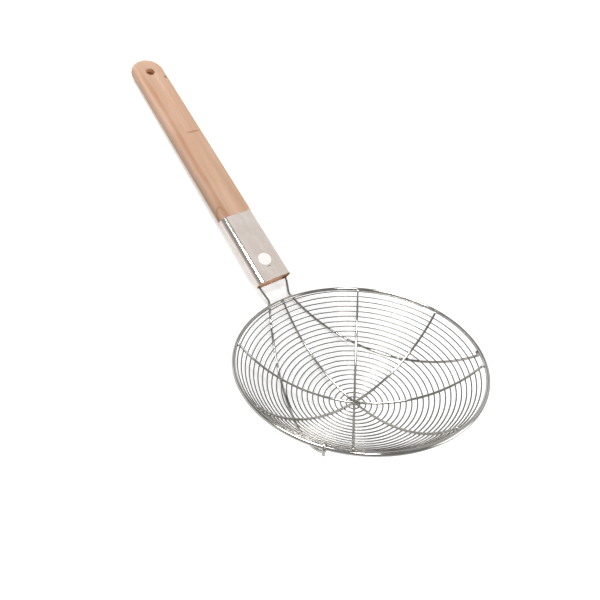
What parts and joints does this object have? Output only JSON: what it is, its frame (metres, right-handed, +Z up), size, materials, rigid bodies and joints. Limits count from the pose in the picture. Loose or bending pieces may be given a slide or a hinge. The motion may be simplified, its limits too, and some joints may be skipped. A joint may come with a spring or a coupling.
{
  "type": "spider skimmer",
  "caption": "Shallow round wire bowl wound in one spiral under ribs, on a flat wooden handle with a steel sleeve.",
  "frame": {"origin": "on the table, under the middle of the overall length and width, as the skimmer lies on the underside of its bowl and the end of its handle", "axes": "+Z up, +X from the bowl along the handle toward its tip, +Y across, to the left of someone looking from the bowl's far rim toward the handle's tip"},
  "size_m": [0.4667, 0.193, 0.1187],
  "materials": {
    "beech": "bare, fine grain",
    "satin_steel": "satin stainless sheet",
    "polished_steel": "polished stainless wire"
  },
  "bodies": {
    "root": {"wooden_handle": "beech", "steel_sleeve": "satin_steel", "rim_wire": "polished_steel", "mesh_coil": "polished_steel", "rib_1": "polished_steel", "rib_2": "polished_steel", "rib_3": "polished_steel", "rib_4": "polished_steel", "rib_5": "polished_steel", "rib_6": "polished_steel", "rib_7": "polished_steel", "rib_8": "polished_steel", "carrier_wire_left": "polished_steel", "carrier_wire_right": "polished_steel"}
  },
  "joints": []
}
